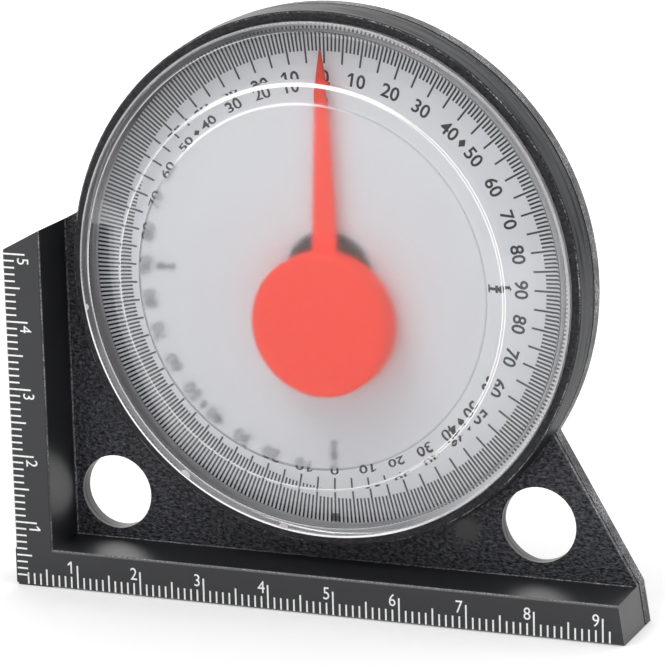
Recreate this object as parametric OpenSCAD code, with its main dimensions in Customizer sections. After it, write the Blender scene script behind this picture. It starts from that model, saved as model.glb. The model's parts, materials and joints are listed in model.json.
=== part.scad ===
// Dial angle finder with a magnetic base: a weighted pointer hangs plumb over a round degree dial,
// in a two-shell case whose foot and left side carry rulers.
// Lengths in millimetres. Depth runs along +Y from the ruler faces at the front to the flat back.

/* [Case] */
// Length of the base, along its foot
base_len = 93; // [86:0.5:110]
// Depth from the ruler faces to the back
case_depth = 12.4; // [11.6:0.1:16]
// Depth of the joint between the front and back shells, measured from the back
parting_depth = 3.1; // [2.6:0.1:3.4]
// Depth of the recessed web's face, measured from the back
web_depth = 3.8; // [3.5:0.1:4.6]
// Thickness of the web
web_t = 1.7; // [1.4:0.1:1.8]
// Height of the ruler face along the base
base_face_h = 5.65; // [5.4:0.05:8]
// Width of the ruler face along the left side
side_face_w = 5.95; // [5.4:0.05:8]
// Height of the left side
side_h = 50; // [44:0.5:56]
// Rise of the cut-off top of the left side, degrees
top_angle = 28; // [20:1:34]
// Slope of the right side above the base, degrees
slant_angle = 60; // [54:1:66]
// How far the right end leans in over the height of the base
end_draft = 0.9; // [0:0.1:1.2]
// How far each ledge leans out from its ruler face to the web
ledge_draft = 0.25; // [0:0.05:0.5]
// Bevel along the front edges of the ruler faces
edge_bevel = 0.3; // [0.1:0.05:0.6]
// Radius of the rounded corners at the foot and the top of the left side
corner_r = 0.6; // [0.3:0.1:1]
// Width of the groove that shows at the joint of the shells
joint_w = 0.35; // [0.2:0.05:0.5]
// Depth of the groove at the joint
joint_d = 0.3; // [0.1:0.05:0.5]
// Wall of the front shell
wall = 1.6; // [1.2:0.1:1.8]
// Side wall of the back cover
cover_wall = 1.5; // [1.2:0.1:1.6]
// Thickness of the back cover's plate
cover_t = 1.4; // [1.2:0.1:1.6]
// Bevel round the back cover's outer edge
cover_bevel = 0.5; // [0.2:0.1:0.8]
// Gap between the front shell's spigot and the back cover
case_fit = 0.15; // [0.05:0.05:0.25]
// Thickness of the ribs in the hollow ledges
rib_t = 1; // [0.8:0.1:1.4]
// Spacing of the ribs
rib_pitch = 13; // [10:1:20]

/* [Hanging holes] */
// Radius of both holes
hole_r = 5.5; // [4:0.1:6.2]
// Left hole, distance from the left side
left_hole_x = 12.6; // [12.4:0.1:15]
// Left hole, height above the foot
left_hole_z = 12.7; // [12.4:0.1:15]
// Right hole, distance from the right end
right_hole_x = 15.2; // [13:0.1:17]
// Right hole, height above the foot
right_hole_z = 13.5; // [12.4:0.1:15]
// Wall of the collar behind the left hole, and of the collars round the bearing
collar_wall = 1.2; // [0.8:0.1:1.4]
// How much wider than the holes the back cover is cut
cover_hole_step = 0.8; // [0.4:0.1:1.1]

/* [Drum] */
// Distance of the dial axis from the left side
axis_x = 47.3; // [44:0.1:52]
// Height of the dial axis above the foot
axis_z = 47.2; // [45:0.1:54]
// Outer radius of the drum at the joint of the shells
drum_r = 38.65; // [34:0.05:40]
// How far the drum wall leans in from the joint to the lip
drum_draft = 0.35; // [0:0.05:0.6]
// Depth of the drum's lip behind the ruler faces
lip_depth = 4.7; // [4.3:0.1:5.4]
// Width of the lip
lip_w = 1.25; // [0.9:0.05:1.4]
// Bevel on the lip's outer edge
lip_bevel = 0.3; // [0.1:0.05:0.5]
// How far the drum floor lies behind the web's face
floor_step = 0.4; // [0.2:0.05:0.5]

/* [Lens] */
// Gap between the lens and the drum wall
lens_fit = 0.1; // [0.03:0.01:0.2]
// How far the lens rim stands in front of the lip
rim_proud = 0.8; // [0.4:0.1:1.4]
// Width of the flat rim
rim_w = 1.45; // [1:0.05:2]
// Width of the sloping flank between the rim and the raised middle
flank_w = 6.7; // [5:0.1:8]
// Depth of the raised middle behind the ruler faces
middle_depth = 0.3; // [0.1:0.1:0.8]
// Thickness of the raised middle
middle_t = 0.9; // [0.8:0.1:1.4]
// Thickness of the flank, along the depth
flank_t = 1.2; // [1:0.05:1.6]
// Width of the inner bevel between the edge of the raised middle and its frosted part
frost_inset = 2; // [1.4:0.1:3]
// Slope of the inner bevel, degrees
frost_angle = 12; // [8:1:16]
// Thickness of the skirt, which stands on the dial's edge
skirt_t = 1.45; // [1:0.05:1.6]
// Bevel on the rim's outer edge
rim_bevel = 0.3; // [0.1:0.05:0.5]

/* [Dial] */
// Thickness of the dial disc
dial_t = 0.5; // [0.3:0.05:0.8]
// Gap between the dial and the parts round it
dial_fit = 0.15; // [0.05:0.05:0.3]
// Width of the locating notch at the foot of the dial
notch_w = 1.2; // [0.8:0.1:2]
// Depth of the locating notch
notch_d = 2.6; // [2.2:0.1:3.4]

/* [Pointer] */
// Radius of the round bob
bob_r = 10.3; // [9:0.1:11]
// Distance of the bob's middle below the axle
bob_drop = 6.1; // [5:0.1:8]
// Depth of the bob's front face behind the ruler faces
bob_depth = 3.9; // [3.2:0.1:4.4]
// Bevel on the bob's front edge
bob_bevel = 0.4; // [0.2:0.1:0.8]
// Thickness of the bob left in front of the axle
axle_skin = 1.2; // [0.8:0.1:1.6]
// Thickness of the needle
needle_t = 0.8; // [0.5:0.1:1.1]
// Half width of the needle where it leaves the bob
needle_root = 1.95; // [1.4:0.05:2.4]
// Half width of the needle where its point begins
needle_neck = 0.8; // [0.5:0.05:1.2]
// Length of the needle's point
point_len = 5.3; // [3:0.1:8]
// How far the needle's tip stays inside the lens's skirt
tip_inset = 3.15; // [2.5:0.05:6]
// Radius of the hub at the back of the bob
hub_r = 2.4; // [2:0.1:2.8]
// Radius of the steel weight
weight_r = 5.4; // [4.5:0.1:5.8]
// Thickness of the steel weight
weight_t = 2; // [1.4:0.1:2.2]
// Wall between the hub and the weight
weight_wall = 1.9; // [1.2:0.1:2]

/* [Bearing] */
// Radius of the axle
axle_r = 0.8; // [0.6:0.05:1]
// Running clearance of the axle in its bushes
running_fit = 0.05; // [0.02:0.01:0.08]
// Outer radius of the bushes
bush_r = 1.75; // [1.5:0.05:2]
// Length of the rear bush
rear_bush_len = 1.1; // [0.8:0.1:1.2]
// Radius of the dark boss behind the pointer
boss_r = 6.5; // [5:0.1:7]
// How far the boss stands in front of the dial
boss_proud = 0.7; // [0.4:0.1:0.9]
// Gap between the pointer's hub and the boss, which holds the front washer
hub_gap = 0.4; // [0.3:0.05:0.6]
// Thickness of the thrust washers
washer_t = 0.2; // [0.15:0.01:0.25]
// Outer radius of the thrust washers
washer_r = 1.6; // [1.3:0.05:2]
// Radius of the axle collar
collar_r = 2; // [1.5:0.1:2.4]
// Thickness of the axle collar
collar_t = 0.5; // [0.4:0.05:0.6]
// Depth of the hollow behind the boss that takes the collar
collar_room = 0.7; // [0.5:0.05:0.8]

/* [Magnets] */
// Length of each bar magnet
magnet_len = 20; // [12:0.5:24]
// Width of each bar magnet, along the depth of the case
magnet_w = 6; // [4:0.1:6.4]
// Height of each bar magnet
magnet_h = 2.4; // [1.6:0.1:2.6]
// Thickness of the steel strip over each magnet
keeper_t = 0.8; // [0.5:0.1:1]
// Distance between the middles of the magnets
magnet_pitch = 41; // [36:0.5:44]
// Gap round the magnets in their pockets
magnet_fit = 0.1; // [0.05:0.05:0.2]
// How far the magnets lie above the foot
magnet_recess = 0.1; // [0.05:0.05:0.3]

/* [Screws] */
// Radius of the screw shank
screw_r = 1; // [0.8:0.05:1.1]
// Length of the screws
screw_len = 7; // [5:0.5:8]
// Radius of the countersunk head
head_r = 1.9; // [1.6:0.05:2]
// Height of the countersunk head
head_h = 1; // [0.8:0.05:1.1]
// Length of each slot of the cross recess in the head
recess_len = 2.3; // [1.6:0.1:2.6]
// Width of each slot of the cross recess
recess_w = 0.55; // [0.4:0.05:0.7]
// Depth of the cross recess
recess_depth = 0.5; // [0.3:0.05:0.6]
// Radius of the posts that take the screws
post_r = 1.95; // [1.6:0.05:2]
// Clearance round the screws in the back cover
screw_fit = 0.1; // [0.05:0.05:0.2]
// Distance of the end screws from the ends of the base
screw_inset = 8; // [7:0.5:10]
// Distance of the side screw below the top of the left side
side_screw_drop = 6; // [5:0.5:10]

/* [Hidden] */
$fn = 96;

black = "#2c2d2f";
white = "#eef0f2";
orange = "#f7523c";
steel = "#b9bcc0";
brass = "#c9a254";
ferrite = "#4a4a4d";
clear = [0.85, 0.9, 0.93, 0.4];
past = 1;
corner_over = 0.02;

// Depths of the stacked parts, behind the ruler faces
parting_y = case_depth - parting_depth;
web_y = case_depth - web_depth;
web_back = web_y + web_t;
cover_in = case_depth - cover_t;
floor_depth = web_y + floor_step;
dial_face = floor_depth - dial_t;
boss_face = dial_face - boss_proud;
hub_back = boss_face - hub_gap;
boss_back = web_back - collar_room;
rear_washer_face = boss_back + running_fit;
collar_face = rear_washer_face + washer_t + running_fit;
rear_bush_face = collar_face + collar_t + running_fit;
rear_bush_end = rear_bush_face + rear_bush_len;
axle_front = bob_depth + axle_skin;

// Radii of the drum and of what it holds
axis = [axis_x, axis_z];
lip_r = drum_r - drum_draft;
seat_r = lip_r - lip_w;
lens_r = seat_r - lens_fit;
rim_depth = lip_depth - rim_proud;
rim_in_r = lens_r - rim_w;
middle_r = rim_in_r - flank_w;
frost_r = middle_r - frost_inset;
flank_slope = (rim_depth - middle_depth) / flank_w;
bevel_slope = tan(frost_angle);
bevel_end_r = middle_r + (middle_t - flank_t + bevel_slope * frost_inset) / (flank_slope - bevel_slope);
skirt_in_r = lens_r - skirt_t;
dial_r = seat_r - dial_fit;
tip_z = skirt_in_r - tip_inset;
running_r = axle_r + running_fit;

// Places of the screws, magnets and holes, as x and height
post_in = cover_wall + case_fit + post_r;
SCREWS = [
    [screw_inset, post_in],
    [base_len / 2, post_in],
    [base_len - screw_inset, post_in],
    [post_in, side_h - side_screw_drop]
];
MAGNET_X = [base_len / 2 - magnet_pitch / 2, base_len / 2 + magnet_pitch / 2];
magnet_y = wall + (parting_y - wall - magnet_w) / 2;
HOLES = [[left_hole_x, left_hole_z], [base_len - right_hole_x, right_hole_z]];

// Corners of the case outline, without the drum; the two sloping sides run on to the points
// nearest the dial axis, which lie inside the drum. The listed corners are rounded
corner_end = [base_len - end_draft, base_face_h + ledge_draft];
slant_dir = [-cos(slant_angle), sin(slant_angle)];
top_dir = [cos(top_angle), sin(top_angle)];
corner_top = [0, side_h];
ROUNDED = [0, 5];
OUTLINE = [
    [0, 0],
    [base_len, 0],
    corner_end,
    corner_end + slant_dir * ((axis - corner_end) * slant_dir),
    corner_top + top_dir * ((axis - corner_top) * top_dir),
    corner_top
];

// A convex outline moved inwards by k: each corner is where its two moved sides meet
function cross2(a, b) = a[0] * b[1] - a[1] * b[0];
function inward(a, b) = [a[1] - b[1], b[0] - a[0]] / norm(b - a);
function meet(p, d, q, e) = p + d * cross2(q - p, e) / cross2(d, e);
function corner(a, b, c, k) = meet(a + inward(a, b) * k, b - a, b + inward(b, c) * k, c - b);
function inset(pts, k) = [
    for (i = [0:len(pts) - 1])
        corner(pts[(i + len(pts) - 1) % len(pts)], pts[i], pts[(i + 1) % len(pts)], k)
];

// Moves the case's lower left front corner so that the origin is under the middle of the case
module in_frame() {
    translate([-base_len / 2, -case_depth / 2, 0])
        children();
}

// A shape drawn in x and height, from one depth to another
module slab(y0, y1) {
    translate([0, y1, 0])
        rotate([90, 0, 0])
            linear_extrude(height = y1 - y0)
                children();
}

// A profile drawn in radius and depth, turned round the dial axis
module turned() {
    translate([axis_x, 0, axis_z])
        rotate([-90, 0, 0])
            rotate_extrude()
                children();
}

// A round bar along the depth at a place given as x and height
module rod(at, r, y0, y1) {
    translate([at[0], y0, at[1]])
        rotate([-90, 0, 0])
            cylinder(r = r, h = y1 - y0);
}

// A tube along the depth on the dial axis
module ring(r_out, r_in, y0, y1) {
    difference() {
        rod(axis, r_out, y0, y1);
        rod(axis, r_in, y0 - past, y1 + past);
    }
}

module outline(k = 0) {
    polygon(inset(OUTLINE, k));
    translate(axis)
        circle(r = drum_r - k);
}

// What is cut from a corner of the outline to round it: all outside a circle that just crosses both sides
module corner_cut(i) {
    at = OUTLINE[i];
    before = OUTLINE[(i + len(OUTLINE) - 1) % len(OUTLINE)] - at;
    after = OUTLINE[(i + 1) % len(OUTLINE)] - at;
    a = before / norm(before);
    b = after / norm(after);
    half = acos(a * b) / 2;
    reach = corner_r / tan(half);
    inner = (a + b) / norm(a + b);
    middle = at + inner * corner_r / sin(half);
    slab(-past, case_depth + past)
        difference() {
            polygon([at - inner * past, at + a * reach, middle, at + b * reach]);
            translate(middle)
                circle(r = corner_r + corner_over);
        }
}

// Section of a ledge in depth and height or width, with bevelled front edges and a leaning inner face
module ledge_section(face) {
    polygon([
        [edge_bevel, 0], [parting_y, 0], [parting_y, face + ledge_draft],
        [edge_bevel, face], [0, face - edge_bevel], [0, edge_bevel]
    ]);
}

// The two ledges that carry the rulers, trimmed to the outline of the case
module ledges() {
    intersection() {
        slab(0, parting_y)
            polygon(OUTLINE);
        union() {
            rotate([90, 0, 90])
                linear_extrude(height = base_len)
                    ledge_section(base_face_h);
            linear_extrude(height = side_h + side_face_w)
                mirror([1, -1])
                    ledge_section(side_face_w);
        }
    }
}

// Hollow behind the ledges, drawn in x and height, with ribs, screw posts and magnet blocks left standing
module ledge_hollow() {
    difference() {
        intersection() {
            polygon(inset(OUTLINE, wall));
            union() {
                square([base_len, base_face_h - wall]);
                square([side_face_w - wall, side_h + side_face_w]);
            }
        }
        for (s = SCREWS)
            translate(s)
                circle(r = post_r);
        for (x = MAGNET_X)
            translate([x - magnet_len / 2 - wall, 0])
                square([magnet_len + 2 * wall, base_face_h]);
        for (x = [rib_pitch:rib_pitch:base_len])
            translate([x - rib_t / 2, 0])
                square([rib_t, base_face_h]);
        for (z = [rib_pitch:rib_pitch:side_h])
            translate([0, z - rib_t / 2])
                square([side_face_w, rib_t]);
    }
}

// Pockets for the magnets and their keepers, open at the foot
module magnet_pockets() {
    for (x = MAGNET_X)
        translate([x - magnet_len / 2 - magnet_fit, magnet_y - magnet_fit, -past])
            cube([
                magnet_len + 2 * magnet_fit,
                magnet_w + 2 * magnet_fit,
                past + magnet_recess + magnet_h + keeper_t
            ]);
}

module front_case() {
    color(black)
        in_frame()
            difference() {
                union() {
                    difference() {
                        union() {
                            slab(web_y, parting_y)
                                polygon(OUTLINE);
                            slab(parting_y, web_back)
                                outline(cover_wall + case_fit);
                            ledges();
                            turned()
                                polygon([
                                    [0, lip_depth], [lip_r - lip_bevel, lip_depth],
                                    [lip_r, lip_depth + lip_bevel], [drum_r, parting_y], [0, parting_y]
                                ]);
                        }
                        rod(axis, seat_r, lip_depth - past, floor_depth);
                        slab(wall, web_back + past)
                            ledge_hollow();
                        magnet_pockets();
                    }
                    rod(axis, boss_r, boss_face, floor_depth);
                    for (s = SCREWS)
                        rod(s, post_r, web_back, cover_in);
                    rod(HOLES[0], hole_r + collar_wall, web_back, cover_in);
                }
                rod(axis, bush_r, boss_face - past, web_back + past);
                rod(axis, collar_r + collar_wall, boss_back, web_back + past);
                for (s = SCREWS)
                    rod(s, screw_r, case_depth - screw_len, cover_in + past);
                for (h = HOLES)
                    rod(h, hole_r, web_y - past, cover_in + past);
                for (i = ROUNDED)
                    corner_cut(i);
            }
}

module back_cover() {
    edge = case_depth - cover_bevel;
    joint_end = parting_y + joint_w;
    color(black)
        in_frame()
            difference() {
                union() {
                    difference() {
                        union() {
                            slab(parting_y, joint_end)
                                polygon(inset(OUTLINE, joint_d));
                            slab(joint_end, edge)
                                polygon(OUTLINE);
                            hull() {
                                slab(edge - cover_bevel, edge)
                                    polygon(OUTLINE);
                                slab(edge, case_depth)
                                    polygon(inset(OUTLINE, cover_bevel));
                            }
                            turned()
                                polygon([
                                    [0, parting_y], [drum_r - joint_d, parting_y],
                                    [drum_r - joint_d, joint_end], [drum_r, joint_end], [drum_r, edge],
                                    [drum_r - cover_bevel, case_depth], [0, case_depth]
                                ]);
                        }
                        slab(parting_y - past, cover_in)
                            outline(cover_wall);
                    }
                    rod(axis, bush_r + collar_wall, rear_bush_face, cover_in);
                }
                rod(axis, bush_r, rear_bush_face - past, rear_bush_end);
                for (s = SCREWS) {
                    rod(s, screw_r + screw_fit, cover_in - past, case_depth);
                    countersink(s, screw_fit);
                }
                for (h = HOLES)
                    rod(h, hole_r + cover_hole_step, cover_in - past, case_depth + past);
                for (i = ROUNDED)
                    corner_cut(i);
            }
}

// Cone of a screw head, grown by a gap
module countersink(at, gap) {
    translate([at[0], case_depth - head_h, at[1]])
        rotate([-90, 0, 0])
            cylinder(r1 = screw_r + gap, r2 = head_r + gap, h = head_h);
}

module lens() {
    color(clear)
        in_frame()
            turned()
                polygon([
                    [0, middle_depth], [middle_r, middle_depth],
                    [rim_in_r, rim_depth], [lens_r - rim_bevel, rim_depth],
                    [lens_r, rim_depth + rim_bevel], [lens_r, dial_face],
                    [skirt_in_r, dial_face],
                    [skirt_in_r, middle_depth + flank_t + flank_slope * (skirt_in_r - middle_r)],
                    [bevel_end_r, middle_depth + middle_t + bevel_slope * (bevel_end_r - frost_r)],
                    [frost_r, middle_depth + middle_t], [0, middle_depth + middle_t]
                ]);
}

module dial() {
    color(white)
        in_frame()
            difference() {
                ring(dial_r, boss_r + dial_fit, dial_face, floor_depth);
                translate([axis_x - notch_w / 2, dial_face - past, axis_z - dial_r - past])
                    cube([notch_w, dial_t + 2 * past, notch_d + past]);
            }
}

// Needle outline in x and height, from the axle up to the tip
module needle_outline() {
    translate(axis)
        polygon([
            [-needle_root, 0], [needle_root, 0],
            [needle_neck, tip_z - point_len], [0, tip_z], [-needle_neck, tip_z - point_len]
        ]);
}

// Middle of the bob and of its weight, as x and height
bob_at = axis - [0, bob_drop];
weight_at = axis - [0, hub_r + weight_wall + weight_r];
weight_face = hub_back - weight_t;

module pointer() {
    color(orange)
        in_frame()
            difference() {
                union() {
                    translate([bob_at[0], 0, bob_at[1]])
                        rotate([-90, 0, 0])
                            rotate_extrude()
                                polygon([
                                    [0, bob_depth], [bob_r - bob_bevel, bob_depth],
                                    [bob_r, bob_depth + bob_bevel], [bob_r, hub_back], [0, hub_back]
                                ]);
                    slab(hub_back - needle_t, hub_back)
                        needle_outline();
                    rod(axis, hub_r, bob_depth + bob_bevel, hub_back);
                }
                rod(axis, axle_r, axle_front, hub_back + past);
                rod(weight_at, weight_r, weight_face, hub_back + past);
            }
}

module bob_weight() {
    color(steel)
        in_frame()
            rod(weight_at, weight_r, weight_face, hub_back);
}

module axle() {
    color(steel)
        in_frame()
            rod(axis, axle_r, axle_front, rear_bush_end - running_fit);
}

module axle_collar() {
    color(steel)
        in_frame()
            ring(collar_r, axle_r, collar_face, collar_face + collar_t);
}

module front_washer() {
    middle = boss_face - hub_gap / 2;
    color(brass)
        in_frame()
            ring(washer_r, running_r, middle - washer_t / 2, middle + washer_t / 2);
}

module rear_washer() {
    color(brass)
        in_frame()
            ring(washer_r, running_r, rear_washer_face, rear_washer_face + washer_t);
}

module front_bush() {
    color(brass)
        in_frame()
            ring(bush_r, running_r, boss_face, boss_back);
}

module rear_bush() {
    color(brass)
        in_frame()
            ring(bush_r, running_r, rear_bush_face, rear_bush_end);
}

module magnet(i) {
    color(ferrite)
        in_frame()
            translate([MAGNET_X[i] - magnet_len / 2, magnet_y, magnet_recess])
                cube([magnet_len, magnet_w, magnet_h]);
}

module keeper(i) {
    color(steel)
        in_frame()
            translate([MAGNET_X[i] - magnet_len / 2, magnet_y, magnet_recess + magnet_h])
                cube([magnet_len, magnet_w, keeper_t]);
}

// Countersunk screw with a cross recess in its head
module cover_screw(i) {
    at = SCREWS[i];
    color(steel)
        in_frame()
            difference() {
                union() {
                    rod(at, screw_r, case_depth - screw_len, case_depth - head_h);
                    countersink(at, 0);
                }
                for (turn = [0, 90])
                    translate([at[0], case_depth, at[1]])
                        rotate([0, turn, 0])
                            cube([recess_len, 2 * recess_depth, recess_w], center = true);
            }
}

front_case();
back_cover();
lens();
dial();
pointer();
bob_weight();
axle();
axle_collar();
front_washer();
rear_washer();
front_bush();
rear_bush();
magnet(0);  // magnet_left
magnet(1);  // magnet_right
keeper(0);  // keeper_left
keeper(1);  // keeper_right
cover_screw(0);  // cover_screw_1
cover_screw(1);  // cover_screw_2
cover_screw(2);  // cover_screw_3
cover_screw(3);  // cover_screw_4
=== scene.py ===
"""Dial angle finder with a magnetic base, dressed for a studio picture.

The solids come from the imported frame. This script adds what a drawing of the solids leaves out: the printed
scales, the moulded lens with its frosted middle, and the finish of every surface.
"""

import functools
import json
import math
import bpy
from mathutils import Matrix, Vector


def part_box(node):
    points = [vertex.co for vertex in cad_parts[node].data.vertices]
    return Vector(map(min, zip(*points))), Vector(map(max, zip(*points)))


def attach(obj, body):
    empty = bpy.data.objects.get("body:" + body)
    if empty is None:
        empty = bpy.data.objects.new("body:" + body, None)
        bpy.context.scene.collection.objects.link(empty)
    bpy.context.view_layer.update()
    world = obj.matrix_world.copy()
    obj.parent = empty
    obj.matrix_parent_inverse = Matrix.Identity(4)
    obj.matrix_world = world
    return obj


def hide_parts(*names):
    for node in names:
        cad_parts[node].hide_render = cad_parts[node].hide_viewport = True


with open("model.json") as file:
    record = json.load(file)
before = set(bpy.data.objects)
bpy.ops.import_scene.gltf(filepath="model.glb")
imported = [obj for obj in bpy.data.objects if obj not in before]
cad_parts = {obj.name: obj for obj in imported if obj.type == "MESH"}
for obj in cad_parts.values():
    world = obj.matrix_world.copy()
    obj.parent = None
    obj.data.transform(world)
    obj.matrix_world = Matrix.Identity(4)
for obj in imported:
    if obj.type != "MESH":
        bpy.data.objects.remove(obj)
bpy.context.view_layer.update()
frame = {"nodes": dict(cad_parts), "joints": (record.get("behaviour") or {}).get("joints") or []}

import types

import bpy
import numpy as np
from bpy.props import FloatProperty, FloatVectorProperty, IntProperty, PointerProperty
from mathutils import Matrix, Vector

bl_info = {
    "name": "Dial Angle Finder",
    "version": (1, 0, 0),
    "blender": (4, 5, 0),
    "location": "View3D > Sidebar > Angle Finder",
    "description": "Dresses the angle finder's solids with its scales, lens and finishes",
    "category": "Object",
}

MM = 0.001
IMAGE_SIZE = (665, 668)
AXIS = np.array(frame["joints"][0]["pos_m"])
FRONT_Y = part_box("front_case")[0].y
JOINT_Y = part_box("back_cover")[0].y
BACK_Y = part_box("back_cover")[1].y
DIAL_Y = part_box("dial")[0].y
LEFT_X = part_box("front_case")[0].x
RIGHT_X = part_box("front_case")[1].x
FOOT_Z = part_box("front_case")[0].z
LENS_R = (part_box("lens")[1].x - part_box("lens")[0].x) / 2
TO_VIEWER = np.array((0.0, -1.0, 0.0))
RIGHT = np.array((1.0, 0.0, 0.0))
UP = np.array((0.0, 0.0, 1.0))


def linear(code):
    """An sRGB hex colour as linear red, green, blue and a full alpha."""
    srgb = np.array([int(code[i:i + 2], 16) for i in (1, 3, 5)]) / 255
    rgb = np.where(srgb <= 0.04045, srgb / 12.92, ((srgb + 0.055) / 1.055) ** 2.4)
    return (*rgb.tolist(), 1.0)


def length(name, mm, description):
    """A length property, given in millimetres."""
    return FloatProperty(name=name, description=description, default=mm * MM, unit="LENGTH", precision=5)


def lengths(name, mms, description):
    """Several lengths in one property, given in millimetres."""
    return FloatVectorProperty(name=name, description=description, default=[mm * MM for mm in mms],
                               size=len(mms), unit="LENGTH", precision=5)


def angle(name, degrees, description):
    """An angle property, given in degrees."""
    return FloatProperty(name=name, description=description, default=math.radians(degrees), subtype="ANGLE")


def amount(name, value, description):
    """A property that is a plain number."""
    return FloatProperty(name=name, description=description, default=value)


def count(name, value, description):
    """A property that is a whole number."""
    return IntProperty(name=name, description=description, default=value)


def colour(name, code, description):
    """A colour property, given as an sRGB hex value."""
    return FloatVectorProperty(name=name, description=description, default=linear(code), size=4,
                               subtype="COLOR", min=0, max=1)


class CaseLook(bpy.types.PropertyGroup):
    plastic: colour("Plastic", "#232427", "Black of the moulded case")
    # Painted shade and painted highlights: the grain's creases are darker and its crowns paler
    crease: colour("Crease", "#1e1e21", "Black of the grain's creases")
    crown: colour("Crown", "#3e3f46", "Grey of the grain's polished crowns")
    # Painted shade: this black darkens the boss, the groove at the parting line, the cover's sides and the
    # lip
    matt: colour("Matt", "#151519", "Black of the boss, the groove and the cover's sides")
    # Painted highlights: the pale grey of the dotted lines along the edges and of the specks on the cover's
    # sides
    wear: colour("Wear", "#d8d8de", "Pale grey of rubbed edges")
    web_depth: length("Web depth", 8.6, "Depth of the grained web")
    lip_depth: length("Lip depth", 4.7, "Depth of the drum's lip")
    lip_w: length("Lip", 2.0, "Reach of the lip from the drum's radius")
    drum_r: length("Drum radius", 38.48, "Middle radius of the drum's side wall")
    wall_t: length("Drum wall", 0.45, "Reach of the wall's taper from that radius")
    # The boss's dark is painted shade round the pointer's hub
    boss_r: length("Boss radius", 9.0, "Radius of the bearing's dark boss")
    groove: length("Groove", 0.36, "Width of the groove at the parting line")
    ledge_w: length("Ledges", 6.2, "Width of the ruler ledges")
    back_t: length("Back face", 0.5, "Depth within which a point is on the back")
    skin: length("Skin", 0.05, "Depth within which a point is on another face")
    grain: length("Grain", 0.4, "Width of a wrinkle of the grain")
    grain_depth: length("Grain depth", 0.17, "Height of the web's grain")
    lip_grain: amount("Lip grain", 0.7, "Share of that height on the lip")
    cover_grain: amount("Cover grain", 0.6, "Share of that height on the back cover")
    lip_shade: amount("Lip shade", 0.65, "How far the lip is as dark and matt as the boss")
    gate_x: length("Gate across", 67.0, "Distance of the smooth gate mark from the left")
    gate_z: length("Gate height", 11.9, "Height of the gate mark above the foot")
    gate_r: length("Gate radius", 2.3, "Radius of the gate mark")
    bores: lengths("Holes", (12.6, 12.7, 77.8, 13.5), "Middles of the holes, from the left and the foot")
    bore_r: length("Hole radius", 6.5, "Radius within which the holes' walls are smooth")
    # Painted highlights: pale dotted lines along the foot of the ledges, behind the drum's lip and behind the
    # front
    ledge_line: lengths("Ledge line", (-0.32, 0.26), "Depth of the worn line behind the web, half its width")
    lip_line: lengths("Lip line", (0.15, 0.08), "Depth of the worn line behind the lip, half its width")
    front_line: lengths("Front line", (0.2, 0.07), "Depth of the worn line behind the front, half its width")
    line_ends: lengths("Line ends", (1.5, 1.0), "Bare ends of the ledge line, at the sides and the foot")


class RulerLook(bpy.types.PropertyGroup):
    ink: colour("Ink", "#fdfefe", "White of the print")
    base_zero: length("Base zero", -0.09, "Zero of the base ruler, from the left")
    side_zero: length("Side zero", -0.49, "Zero of the side ruler, above the foot")
    margin: length("Margin", 0.2, "Bare strip along the outer edge")
    line: length("Line", 0.25, "Width of a line")
    film: length("Film", 0.02, "Thickness of the ink")
    mm_len: length("Millimetre", 1.9, "Reach of a millimetre line from the outer edge")
    half_len: length("Half centimetre", 2.65, "Reach of a half centimetre line")
    cm_len: length("Centimetre", 3.65, "Reach of a centimetre line")
    digit_h: length("Digit height", 1.8, "Height of the digits")
    digit_w: length("Digit width", 1.25, "Room for a digit's width")
    digit_foot: length("Digit foot", 2.4, "Distance of the digits from the outer edge")
    digit_gap: length("Digit gap", 0.25, "Gap between a digit and its line")
    narrow: amount("Narrowing", 0.9, "Width of the digits as a share of the font's")
    first: count("First", 2, "First millimetre line of both rulers")
    base_last: count("Base last", 91, "Last millimetre line of the base")
    side_last: count("Side last", 50, "Last millimetre line of the side")


class DialLook(bpy.types.PropertyGroup):
    card: colour("Card", "#eef1f5", "White of the dial")
    ink: colour("Ink", "#0c0c0e", "Black of the print")
    pin: colour("Pin", "#77797d", "Grey of the locating pin")
    line: length("Line", 0.27, "Width of a degree line")
    film: length("Film", 0.02, "Thickness of the ink")
    line_r: length("Line start", 35.95, "Radius where the degree lines start")
    degree_r: length("Degree", 32.02, "Radius where a degree line ends")
    five_r: length("Five degrees", 30.28, "Radius where a five degree line ends")
    digit_r: length("Digit radius", 28.36, "Radius of the middle of the digits")
    digit_h: length("Digit height", 2.0, "Height of the digits")
    bold: amount("Boldness", 0.017, "Growth of the digits' outlines as a share of the font's size")
    diamond_w: length("Diamond width", 1.1, "Width of the 45 degree diamonds")
    diamond_h: length("Diamond height", 1.5, "Height of the diamonds, along the radius")
    index_out: length("Index point", 26.95, "Radius of the points of the four index marks")
    serif_r: length("Index shaft", 25.8, "Radius where the shafts of the index marks start")
    index_in: length("Index end", 24.1, "Radius where the index marks end")
    index_w: length("Index width", 0.42, "Width of the shafts")
    serif_w: length("Index foot", 1.1, "Width of the feet and points of the index marks")
    notch_w: length("Notch width", 1.1, "Width of the dial's locating notch")
    notch_t: length("Notch depth", 0.48, "Depth of the notch, through the sheet")
    notch_out: length("Tongue start", 36.85, "Radius where the tongue under the skirt starts")
    notch_skirt: length("Pin start", 35.5, "Radius where the tongue ends and the pin starts")
    notch_in: length("Pin end", 34.4, "Radius where the locating pin ends")


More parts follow.
